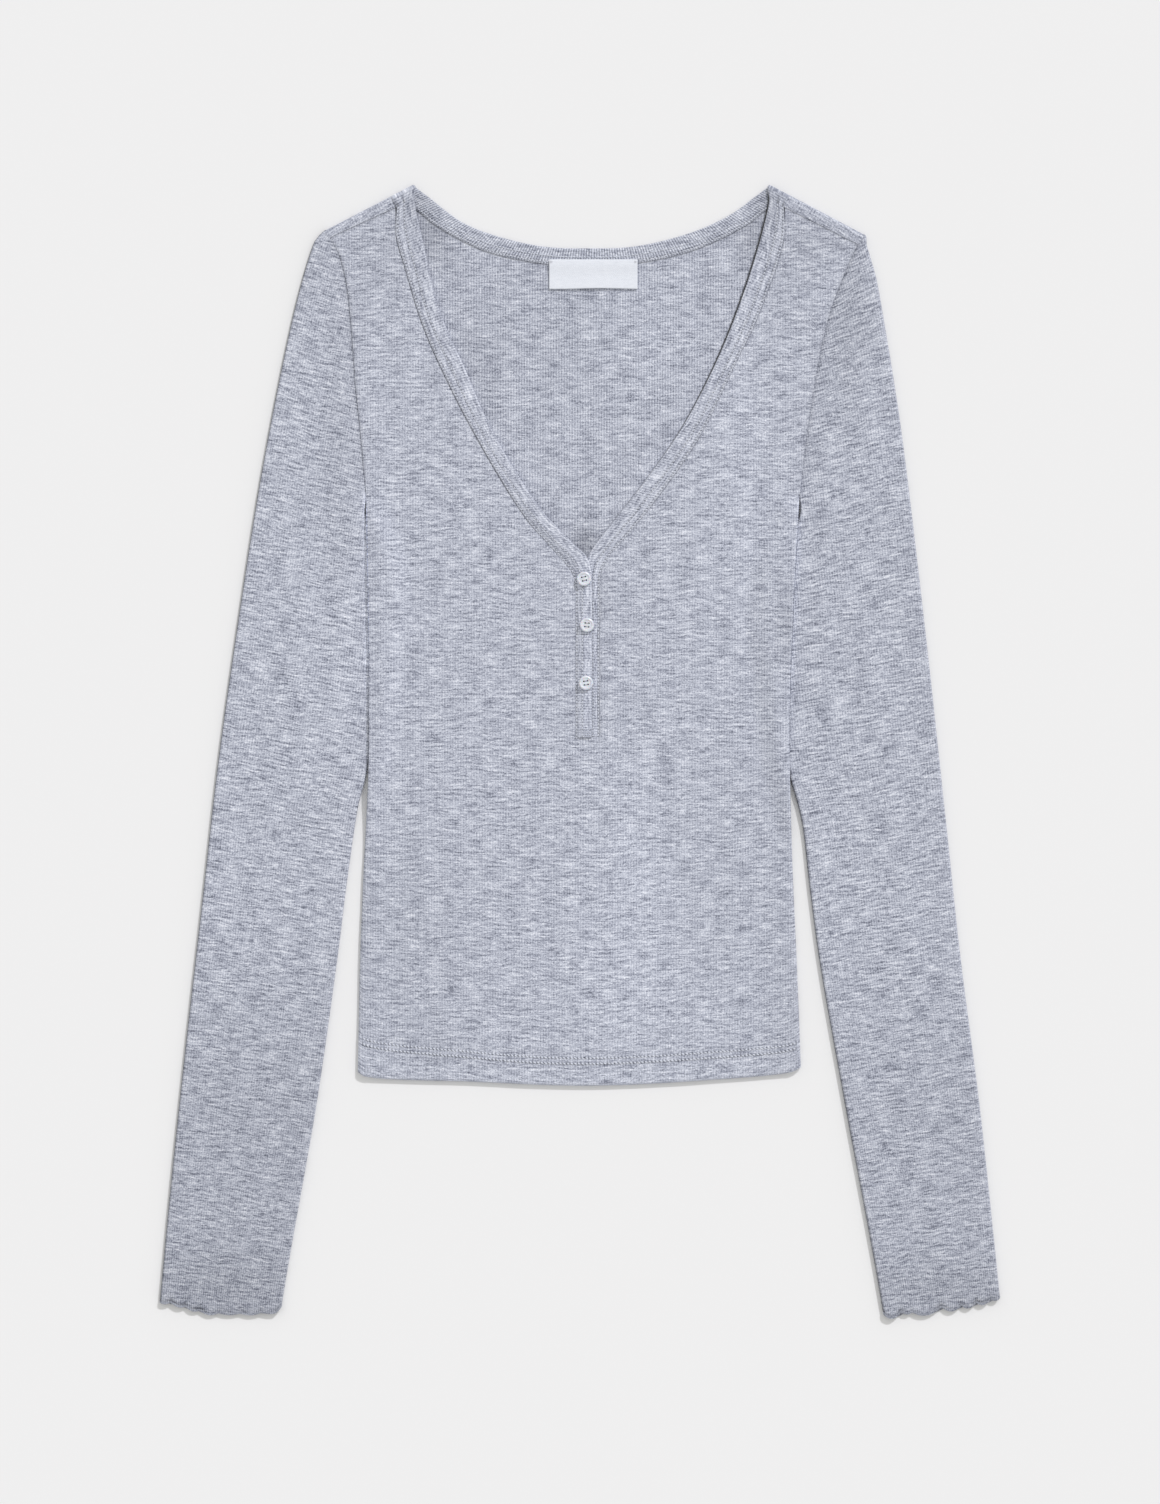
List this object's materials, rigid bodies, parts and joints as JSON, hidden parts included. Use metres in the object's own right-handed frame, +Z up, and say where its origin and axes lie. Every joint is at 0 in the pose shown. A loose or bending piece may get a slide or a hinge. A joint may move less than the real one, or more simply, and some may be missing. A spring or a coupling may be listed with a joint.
{
  "type": "henley shirt",
  "caption": "Long-sleeved rib-knit henley shirt laid flat, with a deep V neck, a bound neckline, a short buttoned slit and ruffled cuffs.",
  "frame": {"origin": "middle of the shirt as laid, on the surface that it lies on", "axes": "+X to the wearer's left, +Y from the hem to the neck, +Z up from the surface, with the front on top"},
  "size_m": [0.5211, 0.7013, 0.0075],
  "materials": {
    "rib_knit": "heather grey fine rib knit, matte",
    "button_plastic": "pale grey, satin",
    "label_weave": "white satin-woven, bare"
  },
  "bodies": {
    "root": {"front": "rib_knit", "back": "rib_knit", "sleeve_right": "rib_knit", "sleeve_left": "rib_knit", "neck_binding": "rib_knit", "button_1": "button_plastic", "button_2": "button_plastic", "button_3": "button_plastic", "label": "label_weave"}
  },
  "joints": []
}
